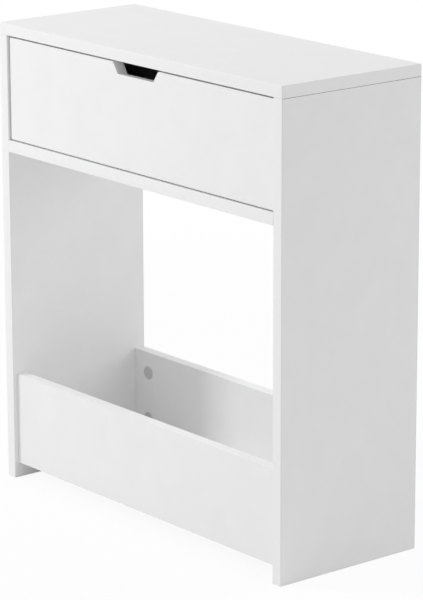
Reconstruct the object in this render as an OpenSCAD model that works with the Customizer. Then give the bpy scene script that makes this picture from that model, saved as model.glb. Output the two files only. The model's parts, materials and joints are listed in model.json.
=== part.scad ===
// Narrow bathroom cabinet: two side panels that stand on the floor, a top board laid over
// them, a drawer on ball runners, an open bay and a shallow tray at the foot.
// Millimetres, +Z up, front towards -Y. The origin is on the floor under the middle.

/* [Cabinet] */
// Width over the side panels
cabinet_w = 550; // [420:5:800]
// Depth from the front edges to the rear edges
cabinet_d = 215; // [205:1:300]
// Height from the floor to the top face
cabinet_h = 600; // [560:5:900]
// Thickness of the cabinet's boards
board_t = 15; // [12:0.5:19]
// Clear height of the drawer bay
bay_h = 135; // [120:1:170]

/* [Tray] */
// Height of the front board
front_board_h = 120; // [90:1:200]
// Height of the back board
back_board_h = 120; // [90:1:200]
// Height of the tray's boards above the floor
floor_gap = 20; // [5:1:60]
// Step from the side panels' front edges back to the front board
front_setback = 6; // [1:0.5:20]

/* [Drawer] */
// Thickness of the drawer front
drawer_front_t = 15; // [12:0.5:19]
// Step from the cabinet's front edges back to the drawer front
drawer_setback = 3; // [0:0.25:6]
// Gap at each end of the drawer front
front_gap_side = 1.75; // [1:0.25:4]
// Gap above the drawer front
front_gap_high = 2.6; // [1:0.1:4]
// Gap below the drawer front
front_gap_low = 1.4; // [1:0.1:4]
// Width of the finger notch at the top edge
notch_w = 88; // [72:1:140]
// Width of the finger notch at its base
notch_base_w = 69; // [40:1:86]
// Depth of the finger notch
notch_d = 14; // [8:0.5:20]
// Fall of the finger notch's base from front to rear
notch_fall = 2; // [0:0.25:4]
// Thickness of the drawer's side and back boards
drawer_board_t = 12; // [10:0.5:15]
// Height of the drawer sides
drawer_side_h = 95; // [84:1:105]
// Gap under the drawer sides
drawer_lift = 12; // [6:1:18]
// Gap behind the drawer
drawer_rear_gap = 5; // [3.5:0.5:15]
// Thickness of the drawer bottom
drawer_bottom_t = 3; // [2.5:0.5:5]
// Height of the groove above the drawer sides' lower edges
groove_up = 10; // [8:1:12]
// Depth of the groove
groove_d = 6; // [4:0.5:7]
// Travel of the drawer
drawer_travel = 125; // [80:1:130]

/* [Ball runners] */
// Height of a runner's middle above the drawer sides' lower edges
runner_up = 53; // [42:1:60]
// Height of the channel
runner_h = 27; // [25:0.5:30]
// Room that a runner fills beside the drawer
runner_t = 10; // [9.6:0.1:11]
// Thickness of the channel's and the slide's steel
steel_t = 1; // [0.8:0.05:1.1]
// Gap at each end of a channel
runner_end_gap = 1.5; // [1:0.5:4]
// Distance of the balls' row from the side panel
ball_in = 5.4; // [5.3:0.05:5.6]
// Diameter of a ball
ball_d = 4; // [3.6:0.1:4.2]
// Distance from ball to ball
ball_pitch = 8.4; // [6:0.1:12]
// Thickness of the ball cage
cage_t = 0.8; // [0.6:0.05:0.85]
// Space between the cage and the channel's back
cage_gap = 0.5; // [0.4:0.05:0.6]
// Length of cage past its last ball
cage_end = 4; // [3:0.5:6]
// Half width of the stop tabs
tab_half = 4; // [3:0.5:5]
// Distance of the end screws from a runner's ends
runner_screw_in = 30; // [26:1:40]

/* [Cam joints] */
// Distance from a joint to the cam's middle
cam_in = 28; // [24:0.5:32]
// Distance from an upright board's edge to its cams
cam_edge = 28; // [22:0.5:32]
// Distance from a flat board's edge to its cams
flat_cam_edge = 42.5; // [30:0.5:60]
// Distance from the tray bottom's edge to its cams
tray_cam_edge = 30; // [22:0.5:50]
// Height of the lower cam above a drawer side's lower edge
drawer_cam_low = 28; // [26:0.5:30]
// Distance of the upper cam below a drawer side's upper edge
drawer_cam_high = 20; // [14:0.5:24]
// Diameter of a cam
cam_d = 15; // [12:0.5:15]
// Wood left under a cam
cam_floor = 2.5; // [1.5:0.1:3]
// How far a cam lies below the board's face
cam_sink = 0.5; // [0.2:0.1:1]
// Radius of the way into a cam
cam_way_r = 3.1; // [3:0.05:3.2]
// Length of the cross in a cam
cross_l = 7; // [5:0.5:9]
// Width of the cross in a cam
cross_w = 1.4; // [1:0.1:1.8]
// Depth of the cross in a cam
cross_d = 1.8; // [1:0.1:2]
// Diameter of a cam's cap
cap_d = 18; // [16.5:0.5:20]
// Thickness of a cam's cap
cap_t = 1.2; // [0.8:0.1:2]

/* [Bolts and dowels] */
// Diameter of the bolt's thread
thread_d = 5; // [4:0.5:6]
// Length of the bolt's thread
thread_l = 10; // [8:0.5:10]
// Diameter of the bolt's collar
collar_d = 7; // [6:0.2:7.6]
// Thickness of the bolt's collar
collar_t = 1.5; // [1:0.1:2]
// Diameter of the bolt's shank
shank_d = 6; // [4.5:0.1:6.5]
// Diameter of the bolt's head
bolt_head_d = 5.6; // [4.6:0.1:5.8]
// Length of the bolt's head
bolt_head_l = 3.4; // [2.4:0.1:4]
// Diameter of the bolt's neck
neck_d = 3.2; // [2.4:0.1:4]
// Diameter of the hole round the shank
bolt_bore_d = 8; // [7.8:0.1:8.4]
// Diameter of a dowel
dowel_d = 8; // [6:0.5:8]
// Length of a dowel
dowel_l = 30; // [25:1:35]
// Length of dowel in the face of a board
dowel_sunk = 10; // [8:0.5:10]

/* [Screws] */
// Diameter of a runner's screws
runner_screw_d = 3.5; // [3:0.1:4]
// Length of a runner's screws
runner_screw_l = 10; // [8:0.5:10]
// Diameter of a runner screw's head
runner_screw_head_d = 6.4; // [5.5:0.1:7]
// Diameter of the screws in the drawer back's ends
back_screw_d = 4; // [3.5:0.1:4.5]
// Length of the screws in the drawer back's ends
back_screw_l = 35; // [30:1:40]
// Diameter of their heads
back_screw_head_d = 7.5; // [6.5:0.1:8]
// Distance of these screws from the drawer back's edges
back_screw_in = 11; // [9:0.5:13]
// Diameter of the drawer bottom's screws
bottom_screw_d = 3; // [2.5:0.1:3.5]
// Length of the drawer bottom's screws
bottom_screw_l = 14; // [12:1:20]
// Diameter of their heads
bottom_screw_head_d = 5.6; // [5.2:0.1:5.8]
// Distance of the outer ones from the drawer back's ends
bottom_screw_in = 50; // [35:1:80]

/* [Clearances] */
// Play round a fastener, on the radius
fit = 0.05; // [0.02:0.01:0.08]
// Play round a ball, on the radius
ball_play = 0.05; // [0.02:0.01:0.08]
// Play round a ball in its cage, on the radius
cage_play = 0.1; // [0.05:0.01:0.15]
// Gap left at the runner's stops
stop_gap = 0.3; // [0.2:0.05:0.5]
// Play above and below the drawer bottom in its groove
groove_play = 0.1; // [0.05:0.05:0.2]
// Play at the drawer bottom's edges in the groove
groove_end_play = 0.5; // [0.2:0.1:1]
// Depth of a hole past its fastener's end
hole_spare = 0.6; // [0.4:0.1:0.8]

/* [Hidden] */
$fn = 48;
cut = 1;
front_y = -cabinet_d / 2;
back_y = cabinet_d / 2;
inner_x = cabinet_w / 2 - board_t;
side_top = cabinet_h - board_t;
bay_floor = side_top - bay_h;
divider_low = bay_floor - board_t;
front_board_y = front_y + front_setback;
tray_front = front_board_y + board_t;
rear_face_y = back_y - board_t;
rear_mid_y = back_y - board_t / 2;
front_mid_y = front_board_y + board_t / 2;
drawer_y = front_y + drawer_setback;
front_x = inner_x - front_gap_side;
front_low = bay_floor + front_gap_low;
front_high = side_top - front_gap_high;
box_x = inner_x - runner_t;
box_inner_x = box_x - drawer_board_t;
box_front = drawer_y + drawer_front_t;
box_rear = rear_face_y - drawer_rear_gap;
box_low = bay_floor + drawer_lift;
box_high = box_low + drawer_side_h;
box_back_y = box_rear - drawer_board_t / 2;
groove_low = box_low + groove_up;
groove_high = groove_low + drawer_bottom_t + 2 * groove_play;
groove_x = box_inner_x + groove_d;
groove_front = box_front - groove_d;
runner_z = box_low + runner_up;
runner_front = box_front + runner_end_gap;
runner_rear = rear_face_y - runner_end_gap;
runner_mid = (runner_front + runner_rear) / 2;
runner_screw_y = [runner_front + runner_screw_in, runner_mid, runner_rear - runner_screw_in];
slide_rear = runner_rear - steel_t - stop_gap;
ball_r = ball_d / 2;
race_r = ball_r + ball_play;
race_outer_r = race_r + steel_t;
race_lip = 25;
ball_up = runner_h / 2 - race_outer_r;
slide_half = ball_up - race_r;
cage_u = steel_t + cage_gap;
cage_reach = ball_in + ball_r + cage_t;
cage_half = ball_up + cage_t / 2;
cage_front = runner_front + steel_t + stop_gap + drawer_travel / 2;
cage_rear = slide_rear - steel_t - stop_gap - drawer_travel / 2;
cage_window = ball_up / 2;
ball_n = floor((cage_rear - cage_front - 2 * cage_end) / ball_pitch) + 1;
tab_reach = cage_u + cage_t + stop_gap;
slide_tab_u = cage_u - stop_gap / 2;
bolt_pitch = 2;
bolt_groove = 0.4;
chamfer = 0.8;
SIDES = [-1, 1];

// A joint is a point on the plane between two boards, the way from there into the board
// that holds the cam, and the way out of the cam's mouth.
function upright_cams(side, y, low, high, mouth) =
    [for (z = [low + cam_edge, high - cam_edge]) [[side * inner_x, y, z], [-side, 0, 0], mouth]];
function flat_cams(side, z, near, far, edge) =
    [for (y = [near + edge, far - edge]) [[side * inner_x, y, z], [-side, 0, 0], [0, 0, -1]]];
function end_dowel(side, y, z) = [[[side * inner_x, y, z], [-side, 0, 0], [0, 0, 1]]];

// Joints of each board with the side panels
function front_cams(side) =
    upright_cams(side, front_mid_y, floor_gap, floor_gap + front_board_h, [0, 1, 0]);
function back_cams(side) =
    upright_cams(side, rear_mid_y, floor_gap, floor_gap + back_board_h, [0, -1, 0]);
function bay_cams(side) = upright_cams(side, rear_mid_y, bay_floor, side_top, [0, -1, 0]);
function tray_cams(side) =
    flat_cams(side, floor_gap + board_t / 2, tray_front, rear_face_y, tray_cam_edge);
function divider_cams(side) =
    flat_cams(side, divider_low + board_t / 2, front_y, back_y, flat_cam_edge);
function top_cams(side) =
    [for (y = [front_y + flat_cam_edge, back_y - flat_cam_edge])
        [[side * (inner_x + board_t / 2), y, side_top], [0, 0, -1], [-side, 0, 0]]];
function front_dowel(side) = end_dowel(side, front_mid_y, floor_gap + front_board_h / 2);
function back_dowel(side) = end_dowel(side, rear_mid_y, floor_gap + back_board_h / 2);
function bay_dowel(side) = end_dowel(side, rear_mid_y, bay_floor + bay_h / 2);
function tray_dowel(side) =
    end_dowel(side, (tray_front + rear_face_y) / 2, floor_gap + board_t / 2);
function divider_dowel(side) = end_dowel(side, 0, divider_low + board_t / 2);
function top_dowel(side) =
    [[[side * (inner_x + board_t / 2), 0, side_top], [0, 0, -1], [1, 0, 0]]];
function end_cams(side) = concat(
    front_cams(side), back_cams(side), bay_cams(side), tray_cams(side), divider_cams(side));
function end_dowels(side) = concat(
    front_dowel(side), back_dowel(side), bay_dowel(side), tray_dowel(side), divider_dowel(side));
function capped_cams(side) = concat(front_cams(side), back_cams(side), divider_cams(side));

// Joints within the drawer
function drawer_cams(side) =
    [for (z = [box_low + drawer_cam_low, box_high - drawer_cam_high])
        [[side * (box_x - drawer_board_t / 2), box_front, z], [0, 1, 0], [-side, 0, 0]]];
function drawer_dowel(side) =
    [[[side * (box_x - drawer_board_t / 2), box_front,
       (box_low + drawer_cam_low + box_high - drawer_cam_high) / 2], [0, 1, 0], [0, 0, 1]]];
function back_screws(side) =
    [for (z = [groove_high + back_screw_in, box_high - back_screw_in])
        [[side * box_x, box_back_y, z], [-side, 0, 0], [0, 0, 1]]];
function bottom_screws() =
    [for (x = [bottom_screw_in - box_inner_x, 0, box_inner_x - bottom_screw_in])
        [[x, box_back_y, groove_low + groove_play], [0, 0, 1], [1, 0, 0]]];

// Turns local +X into the joint and local +Z out of the cam's mouth
module at_joint(joint) {
    point = joint[0];
    into = joint[1];
    mouth = joint[2];
    across = cross(mouth, into);
    multmatrix([
        [into[0], across[0], mouth[0], point[0]],
        [into[1], across[1], mouth[1], point[1]],
        [into[2], across[2], mouth[2], point[2]],
        [0, 0, 0, 1]
    ]) children();
}

module box(low, high) {
    translate(low) cube(high - low);
}

// A solid of revolution about local X: each point is a radius and a distance along X
module turned(points) {
    rotate([0, 90, 0]) rotate_extrude() polygon(points);
}

// An outline in X and Z, drawn out along Y
module along_y(near, far) {
    translate([0, far, 0]) rotate([90, 0, 0]) linear_extrude(far - near) children();
}

module cross_bars(spare, depth) {
    for (turn = [0, 90])
        rotate([0, 0, turn])
            translate([-cross_l / 2 + spare, -cross_w / 2 + spare, 0])
                cube([cross_l - 2 * spare, cross_w - 2 * spare, depth]);
}

// Holes for the joints
module cam_bores(joints, thickness) {
    for (joint = joints)
        at_joint(joint) {
            translate([cam_in, 0, cam_floor - thickness / 2])
                cylinder(r = cam_d / 2 + fit, h = thickness - cam_floor + cut);
            translate([-cut, 0, 0])
                rotate([0, 90, 0]) cylinder(r = bolt_bore_d / 2, h = cam_in + cut);
        }
}

module bolt_pilots(joints) {
    for (joint = joints)
        at_joint(joint)
            translate([-thread_l - hole_spare, 0, 0])
                rotate([0, 90, 0])
                    cylinder(r = thread_d / 2 + fit, h = thread_l + hole_spare + cut);
}

module dowel_holes(joints) {
    for (joint = joints)
        at_joint(joint)
            translate([-dowel_sunk - hole_spare, 0, 0])
                rotate([0, 90, 0])
                    cylinder(r = dowel_d / 2 + fit, h = dowel_l + 2 * hole_spare);
}

module screw_holes(screws, d, l, head_d) {
    shank_r = d / 2 + fit;
    head_r = head_d / 2 + fit;
    for (screw = screws)
        at_joint(screw)
            turned([
                [0, -cut], [head_r, -cut], [head_r, 0], [shank_r, (head_d - d) / 2],
                [shank_r, l + hole_spare], [0, l + hole_spare]
            ]);
}

// Fasteners
module cam(thickness) {
    height = thickness - cam_floor - cam_sink;
    base = cam_floor - thickness / 2;
    translate([cam_in, 0, 0])
        difference() {
            translate([0, 0, base]) cylinder(r = cam_d / 2, h = height);
            translate([-cam_d / 2 - cut, 0, 0])
                rotate([0, 90, 0]) cylinder(r = cam_way_r, h = cam_d / 2 + cut + cam_way_r);
            translate([0, 0, base + height - cross_d]) cross_bars(0, cross_d + cut);
        }
}

module cam_bolt() {
    root_r = thread_d / 2 - bolt_groove;
    shank_end = cam_in - cam_d / 2 - collar_t;
    head_start = cam_in - bolt_head_l / 2;
    rings = floor((thread_l - bolt_pitch) / bolt_pitch);
    turned(concat(
        [[0, -thread_l], [root_r, -thread_l]],
        [for (i = [0 : rings - 1]) for (step = [0, 1])
            [step == 0 ? root_r : thread_d / 2, (i + 0.5 + step / 2) * bolt_pitch - thread_l]],
        [
            [root_r, -bolt_groove], [root_r, 0], [collar_d / 2, 0], [collar_d / 2, collar_t],
            [shank_d / 2, collar_t], [shank_d / 2, shank_end], [neck_d / 2, shank_end],
            [neck_d / 2, head_start - bolt_groove], [bolt_head_d / 2, head_start],
            [bolt_head_d / 2, head_start + bolt_head_l - bolt_groove],
            [bolt_head_d / 2 - bolt_groove, head_start + bolt_head_l],
            [0, head_start + bolt_head_l]
        ]));
}

module cam_cap(thickness) {
    face = thickness / 2;
    translate([cam_in, 0, face]) {
        cylinder(r = cap_d / 2, h = cap_t / 2);
        translate([0, 0, cap_t / 2]) cylinder(r1 = cap_d / 2, r2 = cap_d / 2 - cap_t / 2, h = cap_t / 2);
        translate([0, 0, -cam_sink - cross_d / 2]) cross_bars(fit, cam_sink + cross_d / 2 + cap_t / 2);
    }
}

module dowel() {
    start = -dowel_sunk;
    end = dowel_l - dowel_sunk;
    turned([
        [0, start], [dowel_d / 2 - chamfer, start], [dowel_d / 2, start + chamfer],
        [dowel_d / 2, end - chamfer], [dowel_d / 2 - chamfer, end], [0, end]
    ]);
}

module screw(d, l, head_d) {
    recess = head_d / 5;
    difference() {
        turned([[0, 0], [head_d / 2, 0], [d / 2, (head_d - d) / 2], [d / 2, l - d], [0, l]]);
        for (turn = [0, 90])
            rotate([turn, 0, 0])
                translate([-cut, -recess, -recess / 4]) cube([cut + recess, 2 * recess, recess / 2]);
    }
}

module cams(joints, thickness) {
    for (joint = joints) at_joint(joint) cam(thickness);
}

module bolts(joints) {
    for (joint = joints) at_joint(joint) cam_bolt();
}

module dowels(joints) {
    for (joint = joints) at_joint(joint) dowel();
}

module screws(joints, d, l, head_d) {
    for (joint = joints) at_joint(joint) screw(d, l, head_d);
}

// Cabinet boards
module side_panel(side) {
    middle = side * (inner_x + board_t / 2);
    difference() {
        box([middle - board_t / 2, front_y, 0], [middle + board_t / 2, back_y, side_top]);
        bolt_pilots(end_cams(side));
        dowel_holes(end_dowels(side));
        cam_bores(top_cams(side), board_t);
        dowel_holes(top_dowel(side));
        at_runner(side) channel_screw_holes();
    }
}

module left_side_panel() {
    color("white") side_panel(-1);
}

module right_side_panel() {
    color("white") side_panel(1);
}

module top_board() {
    color("white")
        difference() {
            box([-cabinet_w / 2, front_y, side_top], [cabinet_w / 2, back_y, cabinet_h]);
            for (side = SIDES) {
                bolt_pilots(top_cams(side));
                dowel_holes(top_dowel(side));
            }
        }
}

module divider_board() {
    color("white")
        difference() {
            box([-inner_x, front_y, divider_low], [inner_x, back_y, bay_floor]);
            for (side = SIDES) {
                cam_bores(divider_cams(side), board_t);
                dowel_holes(divider_dowel(side));
            }
        }
}

module bay_back_panel() {
    color("white")
        difference() {
            box([-inner_x, rear_face_y, bay_floor], [inner_x, back_y, side_top]);
            for (side = SIDES) {
                cam_bores(bay_cams(side), board_t);
                dowel_holes(bay_dowel(side));
            }
        }
}

module tray_bottom() {
    color("white")
        difference() {
            box([-inner_x, tray_front, floor_gap], [inner_x, rear_face_y, floor_gap + board_t]);
            for (side = SIDES) {
                cam_bores(tray_cams(side), board_t);
                dowel_holes(tray_dowel(side));
            }
        }
}

module front_board() {
    color("white")
        difference() {
            box([-inner_x, front_board_y, floor_gap], [inner_x, tray_front, floor_gap + front_board_h]);
            for (side = SIDES) {
                cam_bores(front_cams(side), board_t);
                dowel_holes(front_dowel(side));
            }
        }
}

module back_board() {
    color("white")
        difference() {
            box([-inner_x, rear_face_y, floor_gap], [inner_x, back_y, floor_gap + back_board_h]);
            for (side = SIDES) {
                cam_bores(back_cams(side), board_t);
                dowel_holes(back_dowel(side));
            }
        }
}

// Cabinet fasteners
module cam_locks() {
    color("silver")
        for (side = SIDES) cams(concat(end_cams(side), top_cams(side)), board_t);
}

module cam_bolts() {
    color("silver")
        for (side = SIDES) bolts(concat(end_cams(side), top_cams(side)));
}

module cam_caps() {
    color("lightgray")
        for (side = SIDES) for (joint = capped_cams(side)) at_joint(joint) cam_cap(board_t);
}

module wooden_dowels() {
    color("burlywood")
        for (side = SIDES) dowels(concat(end_dowels(side), top_dowel(side)));
}

// Runner frame: X runs from the side panel towards the drawer, Z from the runner's middle
module at_runner(side) {
    translate([side * inner_x, 0, runner_z]) mirror([side > 0 ? 1 : 0, 0, 0]) children();
}

function channel_screws_at() = [for (y = runner_screw_y) [[steel_t, y, 0], [-1, 0, 0], [0, 0, 1]]];
function slide_screws_at() =
    [for (y = runner_screw_y) [[runner_t - steel_t, y, 0], [1, 0, 0], [0, 0, 1]]];

module channel_screw_holes() {
    screw_holes(channel_screws_at(), runner_screw_d, runner_screw_l, runner_screw_head_d);
}

module slide_screw_holes() {
    screw_holes(slide_screws_at(), runner_screw_d, runner_screw_l, runner_screw_head_d);
}

// The part of a race that wraps a ball, from one angle to the other
module race(start, end) {
    reach = 2 * race_outer_r;
    middle = (start + end) / 2;
    intersection() {
        difference() {
            circle(race_outer_r);
            circle(race_r);
        }
        polygon([
            [0, 0], reach * [cos(start), sin(start)], reach * [cos(middle), sin(middle)],
            reach * [cos(end), sin(end)]
        ]);
    }
}

module channel_outline() {
    translate([0, -runner_h / 2]) square([steel_t, runner_h]);
    for (flip = [0, 1])
        mirror([0, flip]) {
            translate([0, runner_h / 2 - steel_t]) square([ball_in, steel_t]);
            translate([ball_in, ball_up]) race(race_lip, 180 - race_lip);
        }
}

module slide_outline() {
    translate([runner_t - steel_t, -slide_half]) square([steel_t, 2 * slide_half]);
    for (flip = [0, 1])
        mirror([0, flip]) {
            translate([ball_in, slide_half - steel_t]) square([runner_t - ball_in, steel_t]);
            translate([ball_in, ball_up]) race(180 + race_lip, 360 - race_lip);
        }
}

module runner_channel(side) {
    at_runner(side)
        difference() {
            union() {
                along_y(runner_front, runner_rear) channel_outline();
                box([0, runner_front, -tab_half], [tab_reach, runner_front + steel_t, tab_half]);
                box([0, runner_rear - steel_t, -tab_half], [ball_in, runner_rear, tab_half]);
            }
            channel_screw_holes();
        }
}

module runner_slide(side) {
    at_runner(side)
        difference() {
            union() {
                along_y(runner_front, slide_rear) slide_outline();
                box([slide_tab_u, slide_rear - steel_t, -tab_half], [runner_t, slide_rear, tab_half]);
            }
            slide_screw_holes();
        }
}

module each_ball() {
    for (flip = SIDES)
        for (i = [0 : ball_n - 1])
            translate([
                ball_in, (cage_front + cage_rear + (2 * i - ball_n + 1) * ball_pitch) / 2,
                flip * ball_up
            ]) children();
}

module ball_cage(side) {
    hole_r = ball_r + cage_play;
    at_runner(side)
        difference() {
            box([cage_u, cage_front, -cage_half], [cage_reach, cage_rear, cage_half]);
            box(
                [cage_u + cage_t, cage_front - cut, cage_t - cage_half],
                [cage_reach + cut, cage_rear + cut, cage_half - cage_t]);
            box(
                [cage_u - cut, cage_front + 2 * cage_end, -cage_window],
                [cage_reach, cage_rear - 2 * cage_end, cage_window]);
            each_ball() translate([0, 0, -cage_t]) cylinder(r = hole_r, h = 2 * cage_t);
        }
}

module balls(side) {
    at_runner(side) each_ball() sphere(r = ball_r);
}

module left_runner_channel() {
    color("lightsteelblue") runner_channel(-1);
}

module right_runner_channel() {
    color("lightsteelblue") runner_channel(1);
}

module left_runner_slide() {
    color("lightsteelblue") runner_slide(-1);
}

module right_runner_slide() {
    color("lightsteelblue") runner_slide(1);
}

module left_ball_cage() {
    color("dimgray") ball_cage(-1);
}

module right_ball_cage() {
    color("dimgray") ball_cage(1);
}

module left_balls() {
    color("silver") balls(-1);
}

module right_balls() {
    color("silver") balls(1);
}

module channel_screws() {
    color("silver")
        for (side = SIDES)
            at_runner(side)
                screws(channel_screws_at(), runner_screw_d, runner_screw_l, runner_screw_head_d);
}

module slide_screws() {
    color("silver")
        for (side = SIDES)
            at_runner(side)
                screws(slide_screws_at(), runner_screw_d, runner_screw_l, runner_screw_head_d);
}

// Drawer
module finger_notch() {
    rear_d = notch_d + notch_fall;
    rear_base_w = notch_base_w - (notch_w - notch_base_w) * notch_fall / notch_d;
    intersection() {
        translate([0, 0, front_high])
            along_y(drawer_y - cut, box_front + cut)
                polygon([
                    [-notch_w / 2, cut], [-notch_w / 2, 0], [-rear_base_w / 2, -rear_d],
                    [rear_base_w / 2, -rear_d], [notch_w / 2, 0], [notch_w / 2, cut]
                ]);
        above_notch_base();
    }
}

module above_notch_base() {
    translate([0, drawer_y, front_high - notch_d])
        rotate([-atan(notch_fall / drawer_front_t), 0, 0])
            box([-notch_w, -drawer_front_t, 0], [notch_w, 2 * drawer_front_t, 2 * notch_d]);
}

module bottom_groove() {
    box([-groove_x, groove_front, groove_low], [groove_x, box_rear + cut, groove_high]);
}

module drawer_front() {
    color("white")
        difference() {
            box([-front_x, drawer_y, front_low], [front_x, box_front, front_high]);
            finger_notch();
            bottom_groove();
            for (side = SIDES) {
                bolt_pilots(drawer_cams(side));
                dowel_holes(drawer_dowel(side));
            }
        }
}

module drawer_side(side) {
    middle = side * (box_x - drawer_board_t / 2);
    difference() {
        box(
            [middle - drawer_board_t / 2, box_front, box_low],
            [middle + drawer_board_t / 2, box_rear, box_high]);
        bottom_groove();
        cam_bores(drawer_cams(side), drawer_board_t);
        dowel_holes(drawer_dowel(side));
        back_screw_holes(side);
        at_runner(side) slide_screw_holes();
    }
}

module back_screw_holes(side) {
    screw_holes(back_screws(side), back_screw_d, back_screw_l, back_screw_head_d);
}

module bottom_screw_holes() {
    screw_holes(bottom_screws(), bottom_screw_d, bottom_screw_l, bottom_screw_head_d);
}

module drawer_left_side() {
    color("whitesmoke") drawer_side(-1);
}

module drawer_right_side() {
    color("whitesmoke") drawer_side(1);
}

module drawer_back() {
    color("whitesmoke")
        difference() {
            box(
                [-box_inner_x, box_rear - drawer_board_t, groove_high],
                [box_inner_x, box_rear, box_high]);
            for (side = SIDES) back_screw_holes(side);
            bottom_screw_holes();
        }
}

module drawer_bottom() {
    edge_x = groove_x - groove_end_play;
    color("whitesmoke")
        difference() {
            box(
                [-edge_x, groove_front + groove_end_play, groove_low + groove_play],
                [edge_x, box_rear, groove_high - groove_play]);
            bottom_screw_holes();
        }
}

module drawer_cam_locks() {
    color("silver") for (side = SIDES) cams(drawer_cams(side), drawer_board_t);
}

module drawer_cam_bolts() {
    color("silver") for (side = SIDES) bolts(drawer_cams(side));
}

module drawer_dowels() {
    color("burlywood") for (side = SIDES) dowels(drawer_dowel(side));
}

module drawer_back_screws() {
    color("silver")
        for (side = SIDES) screws(back_screws(side), back_screw_d, back_screw_l, back_screw_head_d);
}

module drawer_bottom_screws() {
    color("silver")
        screws(bottom_screws(), bottom_screw_d, bottom_screw_l, bottom_screw_head_d);
}

left_side_panel();
right_side_panel();
top_board();
divider_board();
bay_back_panel();
tray_bottom();
front_board();
back_board();
cam_locks();
cam_bolts();
cam_caps();
wooden_dowels();
left_runner_channel();
right_runner_channel();
channel_screws();
left_ball_cage();
right_ball_cage();
left_balls();
right_balls();
drawer_front();
drawer_left_side();
drawer_right_side();
drawer_back();
drawer_bottom();
left_runner_slide();
right_runner_slide();
slide_screws();
drawer_cam_locks();
drawer_cam_bolts();
drawer_dowels();
drawer_back_screws();
drawer_bottom_screws();
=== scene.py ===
# The looks of a narrow white bathroom cabinet: boards with their edge bands, cam fittings,
# ball runners and the drawer, on a pale studio floor.
# Metres, +Z up, front towards -Y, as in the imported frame.
import json
import math

import bpy
from mathutils import Matrix, Vector

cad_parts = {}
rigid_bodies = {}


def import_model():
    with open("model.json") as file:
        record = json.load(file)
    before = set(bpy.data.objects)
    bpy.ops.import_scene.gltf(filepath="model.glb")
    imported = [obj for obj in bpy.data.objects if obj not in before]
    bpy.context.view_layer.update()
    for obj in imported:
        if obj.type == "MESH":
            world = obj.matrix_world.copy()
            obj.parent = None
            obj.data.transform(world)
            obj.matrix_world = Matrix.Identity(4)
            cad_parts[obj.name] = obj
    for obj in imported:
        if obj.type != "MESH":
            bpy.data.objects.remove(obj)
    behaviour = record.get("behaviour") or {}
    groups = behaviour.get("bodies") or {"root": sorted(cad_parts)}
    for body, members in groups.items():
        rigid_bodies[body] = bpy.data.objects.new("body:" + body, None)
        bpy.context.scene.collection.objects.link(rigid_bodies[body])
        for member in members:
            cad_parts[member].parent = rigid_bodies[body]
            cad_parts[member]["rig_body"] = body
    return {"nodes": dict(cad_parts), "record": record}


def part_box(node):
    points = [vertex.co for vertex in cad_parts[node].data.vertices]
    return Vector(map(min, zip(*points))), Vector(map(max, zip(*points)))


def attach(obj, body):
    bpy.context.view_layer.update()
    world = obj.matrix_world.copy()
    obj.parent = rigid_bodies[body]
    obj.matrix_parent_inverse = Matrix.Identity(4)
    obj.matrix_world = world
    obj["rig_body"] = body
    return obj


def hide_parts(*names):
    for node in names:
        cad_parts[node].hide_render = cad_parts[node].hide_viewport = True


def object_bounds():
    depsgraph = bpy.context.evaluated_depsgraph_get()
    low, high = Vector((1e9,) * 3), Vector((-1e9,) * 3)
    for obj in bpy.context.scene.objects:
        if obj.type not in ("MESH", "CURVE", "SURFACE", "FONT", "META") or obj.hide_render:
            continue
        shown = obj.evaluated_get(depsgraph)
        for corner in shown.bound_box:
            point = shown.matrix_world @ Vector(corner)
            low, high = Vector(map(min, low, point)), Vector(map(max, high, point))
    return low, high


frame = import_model()
cad_low, cad_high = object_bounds()

MM = 0.001
WELD = 0.001 * MM
ON_PLANE = 0.01 * MM
FLAT_ANGLE = math.radians(1)
SHARP_ANGLE = math.radians(35)

# Edge bands of the cabinet's boards, and the touch taken off a sawn end's edges
BAND_T = 1.0 * MM
GLUE_T = 0.15 * MM
BAND_ROUND = 0.8 * MM
SAWN_ROUND = 0.25 * MM
PAPER_T = 0.15 * MM

# Foil-wrapped boards of the drawer
FOIL_ROUND = 1.2 * MM
FOIL_T = 0.4 * MM

# The outer arris of each side panel's bare top, rounded; a thin dark line of painted shade runs on
# it under the top board
SEAM_ROUND = 0.85 * MM

# Rims of the small fittings
CAP_ROUND = 0.35 * MM
CAM_ROUND = 0.25 * MM
ROUND_STEPS = 3

FRONT = (1, -1)
REAR = (1, 1)
LEFT = (0, -1)
RIGHT = (0, 1)
LOW = (2, -1)
HIGH = (2, 1)

# The narrow faces of each cabinet board that carry an edge band. The others butt against a
# neighbour, and stay bare.
BANDED_SIDES = {
    "left_side_panel": [FRONT, REAR, LOW],
    "right_side_panel": [FRONT, REAR, LOW],
    "top_board": [FRONT, REAR, LEFT, RIGHT],
    "divider_board": [FRONT, REAR],
    "bay_back_panel": [],
    "tray_bottom": [],
    "front_board": [LOW, HIGH],
    "back_board": [LOW, HIGH],
    "drawer_front": [LOW, HIGH, LEFT, RIGHT],
}
# The two sides that meet in that arris, for each side panel
SEAMS = {"left_side_panel": [LEFT, HIGH], "right_side_panel": [RIGHT, HIGH]}
# The narrow faces of each drawer board that the foil wraps
WRAPPED_SIDES = {
    "drawer_left_side": [LOW, HIGH],
    "drawer_right_side": [LOW, HIGH],
    "drawer_back": [HIGH],
}
ROUNDED_FITTINGS = {"cam_caps": CAP_ROUND, "cam_locks": CAM_ROUND, "drawer_cam_locks": CAM_ROUND}

# Where the values of a noise texture mostly lie
NOISE_SPREAD = (0.3, 0.7)

# Camera, fitted to the photograph's straight edges
IMAGE_H = 600
FOCAL_PX = 3132
SENSOR_MM = 36
CAMERA_PLACE = Vector((2.925, -2.363, 1.278))
CAMERA_YAW = math.radians(-50.92)
CAMERA_PITCH = math.radians(-14.93)
CAMERA_ROLL = math.radians(0.16)

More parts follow.
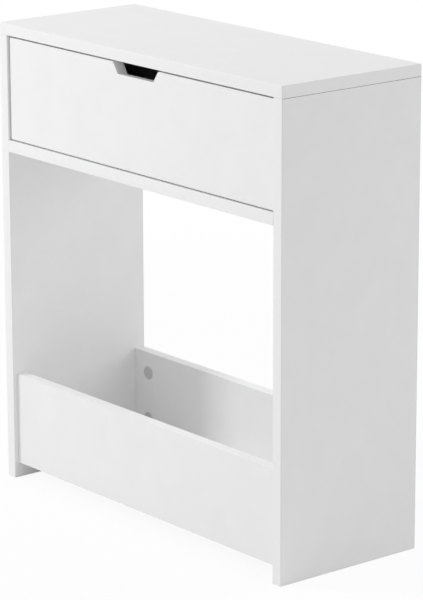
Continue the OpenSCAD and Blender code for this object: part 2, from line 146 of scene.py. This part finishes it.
# Studio light
ROOM_LIGHT = 0.575
KEY_WATTS = 46
KEY_DISTANCE = 3.5
KEY_SIZE = 0.6
KEY_AZIMUTH = -43
KEY_ELEVATION = 35
REAR_WATTS = 16
REAR_DISTANCE = 2.5
REAR_SIZE = 1.6
REAR_AZIMUTH = 160
REAR_ELEVATION = 20
FLOOR_RADIUS = 30
FLOOR_SIDES = 64
FLOOR_SHADE_NEAR = 0.9
FLOOR_SHADE_FAR = 1.8


def linear(hex_colour):
    """An sRGB hex colour as linear RGBA, by the curve of the sRGB standard."""
    channels = []
    for i in (1, 3, 5):
        value = int(hex_colour[i:i + 2], 16) / 255
        channels.append(value / 12.92 if value <= 0.04045 else ((value + 0.055) / 1.055) ** 2.4)
    return (*channels, 1)


def add(tree, kind, inputs=None, **settings):
    """Adds a node. A setting is a property of it, and an input is a value or a socket to link."""
    made = tree.nodes.new(kind)
    for name, value in settings.items():
        setattr(made, name, value)
    for name, value in (inputs or {}).items():
        if isinstance(value, bpy.types.NodeSocket):
            tree.links.new(value, made.inputs[name])
        else:
            made.inputs[name].default_value = value
    return made


def new_finish(name):
    """An empty node material and its tree, with the piece's own coordinates."""
    finish = bpy.data.materials.new(name)
    finish.use_nodes = True
    tree = finish.node_tree
    tree.nodes.clear()
    place = add(tree, "ShaderNodeTexCoord").outputs["Object"]
    return finish, tree, place


def close_finish(tree, shader):
    add(tree, "ShaderNodeOutputMaterial", {"Surface": shader.outputs[0]})


def coat(tree, inputs):
    """Closes a finish with a surface that has these inputs."""
    close_finish(tree, add(tree, "ShaderNodeBsdfPrincipled", inputs))


def noise(tree, place, size_mm, detail, roughness=0.5):
    """Noise with marks of about this size: its values lie mostly within NOISE_SPREAD."""
    return add(tree, "ShaderNodeTexNoise",
               {"Vector": place, "Scale": 1 / (size_mm * MM), "Detail": detail,
                "Roughness": roughness}).outputs["Fac"]


def stretched(tree, place, scale):
    """The place with each axis scaled, which draws a pattern out along the axes below 1."""
    return add(tree, "ShaderNodeMapping", {"Vector": place, "Scale": scale}).outputs["Vector"]


def between(tree, value, low, high):
    """A number that goes from low to high as the noise goes through its spread."""
    return add(tree, "ShaderNodeMapRange",
               {"Value": value, "From Min": NOISE_SPREAD[0], "From Max": NOISE_SPREAD[1],
                "To Min": low, "To Max": high}).outputs["Result"]


def colour_by(tree, value, stops):
    """The colour for this value: each stop is a value from 0 to 1 and its sRGB hex colour."""
    ramp = add(tree, "ShaderNodeValToRGB", {"Fac": value})
    elements = ramp.color_ramp.elements
    elements[0].position = stops[0][0]
    elements[1].position = stops[-1][0]
    for position, _ in stops[1:-1]:
        elements.new(position)
    for element, (_, hex_colour) in zip(elements, stops):
        element.color = linear(hex_colour)
    return ramp.outputs["Color"]


def relief(tree, height, strength, depth_mm):
    """The normal of a surface whose bumps are this deep."""
    return add(tree, "ShaderNodeBump",
               {"Height": height, "Strength": strength, "Distance": depth_mm * MM}).outputs["Normal"]


def white_melamine():
    """White melamine-faced chipboard, pressed between plates with a fine pearl grain: an even
    satin white whose gloss is broken up a little, and no figure."""
    pearl_mm = 1.6  # the real grain is about 0.5 mm, drawn coarser so that it shows up close
    mottle_mm = 45
    finish, tree, place = new_finish("white_melamine")
    pearl = noise(tree, place, pearl_mm, detail=2)
    mottle = noise(tree, place, mottle_mm, detail=3, roughness=0.55)
    coat(tree, {
        "Base Color": colour_by(tree, mottle, [(0.35, "#F4F4F4"), (0.65, "#F6F6F6")]),
        "Roughness": between(tree, mottle, 0.4, 0.44),
        "Normal": relief(tree, pearl, strength=0.25, depth_mm=0.02),
        "IOR": 1.5})
    return finish


def white_abs_edging():
    """White ABS edge band, extruded, glued on and scraped flush: smoother and a little glossier
    than the board's faces, with a slight ripple from the scraper."""
    ripple_mm = 9
    finish, tree, place = new_finish("white_abs_edging")
    ripple = noise(tree, place, ripple_mm, detail=1.5, roughness=0.4)
    coat(tree, {
        "Base Color": colour_by(tree, ripple, [(0.3, "#F5F5F5"), (0.7, "#F6F6F6")]),
        "Roughness": between(tree, ripple, 0.29, 0.35),
        "Normal": relief(tree, ripple, strength=0.2, depth_mm=0.05),
        "IOR": 1.53})
    return finish


def glue_line():
    """Hot-melt glue between the band and the board: a hair-thin greyish line, squeezed out
    unevenly."""
    bead_mm = 3
    finish, tree, place = new_finish("glue_line")
    bead = noise(tree, place, bead_mm, detail=2)
    coat(tree, {
        "Base Color": colour_by(tree, bead, [(0.35, "#D4D3D0"), (0.65, "#E0DFDD")]),
        "Roughness": 0.5,
        "IOR": 1.5})
    return finish


def bare_chipboard():
    """Bare chipboard, sawn or drilled: flakes of pale and brown wood with dark pores between."""
    flake_mm = 2.2
    fibre_mm = 0.7
    finish, tree, place = new_finish("bare_chipboard")
    flake = add(tree, "ShaderNodeTexVoronoi",
                {"Vector": place, "Scale": 1 / (flake_mm * MM), "Randomness": 1})
    pick = add(tree, "ShaderNodeSeparateColor", {"Color": flake.outputs["Color"]})
    wood = colour_by(tree, pick.outputs["Red"], [(0, "#A07C4E"), (0.5, "#C6A573"), (1, "#DCC297")])
    fibre = noise(tree, place, fibre_mm, detail=4, roughness=0.6)
    colour = add(tree, "ShaderNodeVectorMath", {0: wood, 1: between(tree, fibre, 0.7, 1.05)},
                 operation="MULTIPLY")
    coat(tree, {
        "Base Color": colour.outputs["Vector"],
        "Roughness": 0.85,
        "Normal": relief(tree, fibre, strength=0.8, depth_mm=0.3),
        "IOR": 1.45})
    return finish


def painted_seam_shade():
    """Painted shade on the bare board right under the top board: a thin dark grey line, painted in
    for the shadow in the joint between the boards.
    """
    streak_mm = 4
    finish, tree, place = new_finish("painted_seam_shade")
    streak = noise(tree, place, streak_mm, detail=2)
    coat(tree, {
        # These dark greys are painted shade of the joint, not the board's own colour
        "Base Color": colour_by(tree, streak, [(0.35, "#565656"), (0.65, "#6E6E6D")]),
        "Roughness": 0.8,
        "IOR": 1.45})
    return finish


def white_drawer_foil():
    """White foil wrapped round thin board: matt, with a faint orange-peel from the core."""
    peel_mm = 3.5
    finish, tree, place = new_finish("white_drawer_foil")
    peel = noise(tree, place, peel_mm, detail=2)
    coat(tree, {
        "Base Color": colour_by(tree, peel, [(0.3, "#E3E3E2"), (0.7, "#E8E8E6")]),
        "Roughness": between(tree, peel, 0.5, 0.6),
        "Normal": relief(tree, peel, strength=0.3, depth_mm=0.05),
        "IOR": 1.48})
    return finish


def lacquered_hardboard():
    """Hardboard with a white lacquered face: flat and matt, with a fine roller texture."""
    stipple_mm = 1.8
    finish, tree, place = new_finish("lacquered_hardboard")
    stipple = noise(tree, place, stipple_mm, detail=3, roughness=0.6)
    coat(tree, {
        "Base Color": colour_by(tree, stipple, [(0.3, "#DFDFDC"), (0.7, "#E7E7E4")]),
        "Roughness": 0.6,
        "Normal": relief(tree, stipple, strength=0.3, depth_mm=0.04),
        "IOR": 1.5})
    return finish


def screen_ribs(tree, place, axis, pitch_mm):
    """Even ribs across one axis."""
    pitch_at_one = 0.314  # a wave texture of scale 1 repeats after this many metres
    return add(tree, "ShaderNodeTexWave",
               {"Vector": place, "Scale": pitch_at_one / (pitch_mm * MM), "Distortion": 0.3},
               bands_direction=axis).outputs["Fac"]


def bare_hardboard():
    """Bare hardboard: brown pressed fibre, with the print of the press screen on its back."""
    screen_mm = 2.0
    fibre_mm = 1.2
    finish, tree, place = new_finish("bare_hardboard")
    screen = add(tree, "ShaderNodeMath",
                 {0: screen_ribs(tree, place, "X", screen_mm),
                  1: screen_ribs(tree, place, "Y", screen_mm)}, operation="MULTIPLY")
    fibre = noise(tree, place, fibre_mm, detail=4, roughness=0.6)
    coat(tree, {
        "Base Color": colour_by(tree, fibre, [(0.3, "#5E4128"), (0.7, "#8A6642")]),
        "Roughness": 0.8,
        "Normal": relief(tree, screen.outputs["Value"], strength=0.7, depth_mm=0.2),
        "IOR": 1.45})
    return finish


def die_cast_zinc():
    """Die-cast zinc of the cams: dull grey metal with a fine cast grain and faint flow marks."""
    grain_mm = 0.5
    flow_mm = 4
    finish, tree, place = new_finish("die_cast_zinc")
    grain = noise(tree, place, grain_mm, detail=3, roughness=0.6)
    flow = noise(tree, place, flow_mm, detail=2)
    coat(tree, {
        "Base Color": colour_by(tree, flow, [(0.3, "#A5A7AA"), (0.7, "#BCBDBF")]),
        "Metallic": 1,
        "Roughness": between(tree, flow, 0.42, 0.55),
        "Normal": relief(tree, grain, strength=0.4, depth_mm=0.06)})
    return finish


def bright_zinc_plate():
    """Bright zinc plate on steel bolts and screws: pale metal with a slight blue cast."""
    tint_mm = 5
    finish, tree, place = new_finish("bright_zinc_plate")
    tint = noise(tree, place, tint_mm, detail=2)
    coat(tree, {
        "Base Color": colour_by(tree, tint, [(0.3, "#BFC4CC"), (0.7, "#D2D3D3")]),
        "Metallic": 1,
        "Roughness": between(tree, tint, 0.29, 0.36)})
    return finish


def rolled_runner_steel():
    """Zinc-plated strip steel, roll-formed along its length: satin, with faint drawn lines."""
    line_mm = 0.8
    line_l_mm = 60
    finish, tree, place = new_finish("rolled_runner_steel")
    along_runner = stretched(tree, place, (1, line_mm / line_l_mm, 1))
    lines = noise(tree, along_runner, line_mm, detail=3, roughness=0.6)
    coat(tree, {
        "Base Color": colour_by(tree, lines, [(0.3, "#B6BAC0"), (0.7, "#CBCDD0")]),
        "Metallic": 1,
        "Roughness": between(tree, lines, 0.3, 0.42),
        "Normal": relief(tree, lines, strength=0.3, depth_mm=0.02)})
    return finish


def polished_ball_steel():
    """Hardened bearing steel, lapped and polished, under a thin film of grease."""
    film_mm = 2
    finish, tree, place = new_finish("polished_ball_steel")
    film = noise(tree, place, film_mm, detail=1)
    coat(tree, {
        "Base Color": colour_by(tree, film, [(0, "#C9CACB"), (1, "#D8D8D8")]),
        "Metallic": 1,
        "Roughness": between(tree, film, 0.07, 0.16)})
    return finish


def black_cage_plastic():
    """Black acetal of the ball cages, moulded: near black with a fine spark-eroded grain."""
    grain_mm = 0.7
    finish, tree, place = new_finish("black_cage_plastic")
    grain = noise(tree, place, grain_mm, detail=2, roughness=0.6)
    coat(tree, {
        "Base Color": colour_by(tree, grain, [(0, "#141416"), (1, "#222326")]),
        "Roughness": 0.42,
        "Normal": relief(tree, grain, strength=0.4, depth_mm=0.05),
        "IOR": 1.48})
    return finish


def grey_cap_plastic():
    """Light grey polyethylene of the cam caps, moulded: soft sheen, slightly uneven tone."""
    grain_mm = 0.8
    finish, tree, place = new_finish("grey_cap_plastic")
    grain = noise(tree, place, grain_mm, detail=2, roughness=0.6)
    coat(tree, {
        "Base Color": colour_by(tree, grain, [(0.3, "#C6C7C8"), (0.7, "#CDCDCD")]),
        "Roughness": 0.48,
        "Normal": relief(tree, grain, strength=0.3, depth_mm=0.04),
        "IOR": 1.51})
    return finish


def turned_beech():
    """Bare beech dowel: warm pale wood with short darker flecks."""
    fleck_mm = 1.0
    fleck_l_mm = 7
    finish, tree, place = new_finish("turned_beech")
    along_dowel = stretched(tree, place, (fleck_mm / fleck_l_mm, 1, 1))
    fleck = noise(tree, along_dowel, fleck_mm, detail=4, roughness=0.6)
    coat(tree, {
        "Base Color": colour_by(tree, fleck, [(0.3, "#B98F62"), (0.6, "#D9B78B")]),
        "Roughness": 0.65,
        "Normal": relief(tree, fleck, strength=0.4, depth_mm=0.1),
        "IOR": 1.45})
    return finish


MELAMINE = white_melamine()
EDGING = white_abs_edging()
GLUE = glue_line()
CHIPBOARD = bare_chipboard()
# The side panels' seam line is painted shade
PAINTED_SEAM_SHADE = painted_seam_shade()
FOIL = white_drawer_foil()
LACQUER = lacquered_hardboard()
HARDBOARD = bare_hardboard()
FITTING_FINISHES = {
    "cast_zinc": die_cast_zinc(),
    "plated_steel": bright_zinc_plate(),
    "runner_steel": rolled_runner_steel(),
    "ball_steel": polished_ball_steel(),
    "cage_plastic": black_cage_plastic(),
    "cap_plastic": grey_cap_plastic(),
    "beech": turned_beech(),
}
SLOTS = {row["node"]: row["material_slot"] for row in frame["record"]["subparts"]}


def select_only(piece):
    bpy.ops.object.select_all(action="DESELECT")
    piece.select_set(True)
    bpy.context.view_layer.objects.active = piece


def edit_all(piece, parts="FACE"):
    """Opens a piece for editing with all of it selected."""
    select_only(piece)
    bpy.ops.object.mode_set(mode="EDIT")
    bpy.ops.mesh.select_mode(type=parts)
    bpy.ops.mesh.select_all(action="SELECT")


def close_edit():
    bpy.ops.object.mode_set(mode="OBJECT")


def merged_copy(node):
    """A copy of a CAD piece with a mesh of its own, its loose triangles merged into faces."""
    piece = bpy.data.objects.new(f"{node}_finished", frame["nodes"][node].data.copy())
    piece.data.name = piece.name
    piece.data.materials.clear()
    bpy.context.scene.collection.objects.link(piece)
    edit_all(piece, "VERT")
    bpy.ops.mesh.remove_doubles(threshold=WELD)
    bpy.ops.mesh.dissolve_limited(angle_limit=FLAT_ANGLE)
    close_edit()
    return piece


def outer_planes(node):
    """The six planes of a piece's box: (axis, sign) and where it cuts the axis."""
    low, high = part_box(node)
    return {
        (axis, sign): (high if sign > 0 else low)[axis] for axis in range(3) for sign in (-1, 1)
    }


def face_pair(planes):
    """The two planes of a board's broad faces, across its thickness."""
    thin = min(range(3), key=lambda axis: planes[axis, 1] - planes[axis, -1])
    return [(thin, -1), (thin, 1)]


def planes_through(points, planes):
    """The outer planes on which all these points lie."""
    return [
        side for side, place in planes.items()
        if all(abs(point[side[0]] - place) < ON_PLANE for point in points)
    ]


def is_in_layer(centre, sides, planes, layer_t):
    """True where this point lies within a layer of this thickness on one of these sides."""
    return any(abs(centre[side[0]] - planes[side]) < layer_t for side in sides)


def is_on_seam(node, centre, planes):
    """True on the rounded arris of a side panel's bare top, which carries the painted seam shade."""
    return node in SEAMS and all(
        is_in_layer(centre, [side], planes, SEAM_ROUND) for side in SEAMS[node])


def score_along(piece, side, place, depth):
    """Cuts the faces of a board along a line at this depth in from one of its sides."""
    axis, sign = side
    point, normal = Vector(), Vector()
    point[axis] = place - sign * depth
    normal[axis] = sign
    edit_all(piece)
    bpy.ops.mesh.bisect(plane_co=point, plane_no=normal)
    close_edit()


def round_edges(piece, radius_of):
    """Rounds each edge by the radius that the function gives for its two end points."""
    mesh = piece.data
    radii = [radius_of([mesh.vertices[i].co for i in edge.vertices]) for edge in mesh.edges]
    widest = max(radii)
    weights = mesh.attributes.new("bevel_weight_edge", "FLOAT", "EDGE")
    weights.data.foreach_set("value", [radius / widest for radius in radii])
    select_only(piece)
    arrises = piece.modifiers.new("arrises", "BEVEL")
    arrises.limit_method = "WEIGHT"
    arrises.width = widest
    arrises.segments = ROUND_STEPS
    bpy.ops.object.modifier_apply(modifier=arrises.name)


def smooth(piece):
    """Shades the rounded parts smooth and keeps the flat faces flat."""
    select_only(piece)
    bpy.ops.object.shade_smooth_by_angle(angle=SHARP_ANGLE)
    weights = piece.modifiers.new("flat_faces_stay_flat", "WEIGHTED_NORMAL")
    weights.keep_sharp = True
    bpy.ops.object.modifier_apply(modifier=weights.name)


def place_piece(piece, node):
    """Lets the finished piece stand for its CAD piece and move with the same body."""
    smooth(piece)
    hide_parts(node)
    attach(piece, frame["nodes"][node]["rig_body"])


def paint_faces(piece, finishes, choose):
    """Gives each face the finish that the function picks from its centre."""
    for finish in finishes:
        piece.data.materials.append(finish)
    for face in piece.data.polygons:
        points = [piece.data.vertices[i].co for i in face.vertices]
        face.material_index = finishes.index(choose(face.center, points))


def finish_banded_board(node, banded):
    """A melamine-faced board: its arrises are rounded and its bands scored off by a glue line,
    and bare chipboard shows at its other sides and in its holes."""
    planes = outer_planes(node)
    broad = face_pair(planes)
    piece = merged_copy(node)

    def in_notch(points):
        return node == "drawer_front" and all(is_notch_point(p, planes) for p in points)

    def radius_of(points):
        sides = planes_through(points, planes)
        if in_notch(points):
            across = abs(points[0].y - points[1].y) > BAND_T
            return BAND_ROUND if sides or across else 0
        if len(sides) < 2:
            return 0
        if sorted(sides) == SEAMS.get(node):
            return SEAM_ROUND
        return BAND_ROUND if all(side in banded + broad for side in sides) else SAWN_ROUND

    def finish_at(centre, points):
        if in_notch(points) or is_in_layer(centre, banded, planes, BAND_T):
            return EDGING
        if is_in_layer(centre, banded, planes, BAND_T + GLUE_T):
            return GLUE
        if is_in_layer(centre, broad, planes, PAPER_T):
            return MELAMINE
        # The side panel's seam arris gets painted shade instead of bare chipboard
        return PAINTED_SEAM_SHADE if is_on_seam(node, centre, planes) else CHIPBOARD

    round_edges(piece, radius_of)
    for side in banded:
        score_along(piece, side, planes[side], BAND_T)
        score_along(piece, side, planes[side], BAND_T + GLUE_T)
    paint_faces(piece, [MELAMINE, EDGING, GLUE, CHIPBOARD, PAINTED_SEAM_SHADE], finish_at)
    place_piece(piece, node)


def is_notch_point(point, planes):
    """True on the cut faces of the finger notch in the drawer front's top edge."""
    notch_half = 44 * MM
    notch_d = 16 * MM
    return abs(point.x) < notch_half + ON_PLANE and point.z > planes[HIGH] - notch_d - ON_PLANE


def finish_wrapped_board(node, wrapped):
    """A foil-wrapped drawer board: foil on its faces and round its wrapped sides, and bare board
    at its ends, in its groove and in its holes."""
    planes = outer_planes(node)
    broad = face_pair(planes)
    piece = merged_copy(node)

    def radius_of(points):
        sides = planes_through(points, planes)
        if len(sides) < 2:
            return 0
        return FOIL_ROUND if all(side in wrapped + broad for side in sides) else SAWN_ROUND

    def finish_at(centre, points):
        return FOIL if is_in_layer(centre, wrapped + broad, planes, FOIL_T) else CHIPBOARD

    round_edges(piece, radius_of)
    paint_faces(piece, [FOIL, CHIPBOARD], finish_at)
    place_piece(piece, node)


def finish_drawer_bottom(node):
    """The thin bottom: lacquered on top, bare below and at its sawn edges."""
    planes = outer_planes(node)
    piece = merged_copy(node)

    def radius_of(points):
        return SAWN_ROUND if len(planes_through(points, planes)) > 1 else 0

    def finish_at(centre, points):
        return LACQUER if HIGH in planes_through(points, planes) else HARDBOARD

    paint_faces(piece, [LACQUER, HARDBOARD], finish_at)
    round_edges(piece, radius_of)
    place_piece(piece, node)


def round_rims(piece, radius):
    """Rounds the sharp rims of a small fitting."""
    select_only(piece)
    rims = piece.modifiers.new("rims", "BEVEL")
    rims.width = radius
    rims.segments = ROUND_STEPS
    rims.limit_method = "ANGLE"
    rims.angle_limit = SHARP_ANGLE
    bpy.ops.object.modifier_apply(modifier=rims.name)


def finish_fitting(node):
    """A fitting in its own finish, with its round faces smooth."""
    piece = merged_copy(node)
    if node in ROUNDED_FITTINGS:
        round_rims(piece, ROUNDED_FITTINGS[node])
    piece.data.materials.append(FITTING_FINISHES[SLOTS[node]])
    place_piece(piece, node)


def finish_object():
    for node in SLOTS:
        if node in BANDED_SIDES:
            finish_banded_board(node, BANDED_SIDES[node])
        elif node in WRAPPED_SIDES:
            finish_wrapped_board(node, WRAPPED_SIDES[node])
        elif node == "drawer_bottom":
            finish_drawer_bottom(node)
        else:
            finish_fitting(node)


def seen_directly(tree):
    """1 for rays from the camera, a mirror or glass, and 0 for rays that carry light."""
    path = add(tree, "ShaderNodeLightPath")
    direct = add(tree, "ShaderNodeMath",
                 {0: path.outputs["Is Camera Ray"], 1: path.outputs["Is Glossy Ray"]},
                 operation="MAXIMUM")
    return add(tree, "ShaderNodeMath",
               {0: direct.outputs["Value"], 1: path.outputs["Is Transmission Ray"]},
               operation="MAXIMUM").outputs["Value"]


def light_room():
    """A white room: it is seen as white, and lights the cabinet evenly from all round."""
    room = bpy.data.worlds.new("studio_room")
    bpy.context.scene.world = room
    room.use_nodes = True
    tree = room.node_tree
    tree.nodes.clear()
    strength = add(tree, "ShaderNodeMapRange",
                   {"Value": seen_directly(tree), "To Min": ROOM_LIGHT, "To Max": 1})
    light = add(tree, "ShaderNodeBackground",
                {"Color": (1, 1, 1, 1), "Strength": strength.outputs["Result"]})
    add(tree, "ShaderNodeOutputWorld", {"Surface": light.outputs["Background"]})


def floor_finish():
    """Matt white floor that is seen as white and keeps a faint shadow near the cabinet."""
    shade_share = 0.08
    finish, tree, place = new_finish("studio_floor")
    distance = add(tree, "ShaderNodeVectorMath", {0: place}, operation="LENGTH")
    clean = add(tree, "ShaderNodeMapRange",
                {"Value": distance.outputs["Value"], "From Min": FLOOR_SHADE_NEAR,
                 "From Max": FLOOR_SHADE_FAR, "To Min": 1 - shade_share, "To Max": 1})
    white_share = add(tree, "ShaderNodeMath",
                      {0: clean.outputs["Result"], 1: seen_directly(tree)}, operation="MULTIPLY")
    paint = add(tree, "ShaderNodeBsdfDiffuse", {"Color": linear("#F6F6F6")})
    white = add(tree, "ShaderNodeEmission", {"Color": (1, 1, 1, 1), "Strength": 1})
    shader = add(tree, "ShaderNodeMixShader", {0: white_share.outputs["Value"]})
    tree.links.new(paint.outputs["BSDF"], shader.inputs[1])
    tree.links.new(white.outputs["Emission"], shader.inputs[2])
    close_finish(tree, shader)
    return finish


def lay_floor():
    bpy.ops.object.select_all(action="DESELECT")
    bpy.ops.mesh.primitive_circle_add(
        vertices=FLOOR_SIDES, radius=FLOOR_RADIUS, fill_type="NGON")
    floor = bpy.context.object
    floor.name = "studio_floor"
    floor.data.materials.append(floor_finish())


def towards(azimuth, elevation):
    """The way from the cabinet to a lamp: azimuth 0 is in front, 90 to the right."""
    turn, rise = math.radians(azimuth), math.radians(elevation)
    return Vector((
        math.sin(turn) * math.cos(rise), -math.cos(turn) * math.cos(rise), math.sin(rise)))


def hang_softbox(name, azimuth, elevation, distance, size, watts):
    middle = (cad_low + cad_high) / 2
    lamp = bpy.data.lights.new(name, "AREA")
    lamp.shape = "SQUARE"
    lamp.size = size
    lamp.energy = watts
    softbox = bpy.data.objects.new(name, lamp)
    bpy.context.scene.collection.objects.link(softbox)
    way = towards(azimuth, elevation)
    softbox.location = middle + way * distance
    softbox.rotation_euler = way.to_track_quat("Z", "Y").to_euler()


def place_camera():
    """The camera at the photograph's viewing angle, from above and with a slight roll."""
    lens = bpy.data.cameras.new("camera")
    lens.sensor_width = SENSOR_MM
    lens.lens = FOCAL_PX * SENSOR_MM / IMAGE_H
    camera = bpy.data.objects.new("camera", lens)
    bpy.context.scene.collection.objects.link(camera)
    ahead = Vector((
        math.sin(CAMERA_YAW) * math.cos(CAMERA_PITCH),
        math.cos(CAMERA_YAW) * math.cos(CAMERA_PITCH),
        math.sin(CAMERA_PITCH)))
    level_right = Vector((math.cos(CAMERA_YAW), -math.sin(CAMERA_YAW), 0))
    level_down = ahead.cross(level_right)
    right = math.cos(CAMERA_ROLL) * level_right + math.sin(CAMERA_ROLL) * level_down
    axes = Matrix((right, right.cross(ahead), -ahead)).transposed()
    camera.matrix_world = Matrix.Translation(CAMERA_PLACE) @ axes.to_4x4()
    bpy.context.scene.camera = camera


place_camera()
finish_object()
lay_floor()
light_room()
hang_softbox("key_softbox", KEY_AZIMUTH, KEY_ELEVATION, KEY_DISTANCE, KEY_SIZE, KEY_WATTS)
hang_softbox("rear_softbox", REAR_AZIMUTH, REAR_ELEVATION, REAR_DISTANCE, REAR_SIZE, REAR_WATTS)
bpy.context.scene.view_settings.view_transform = "Standard"
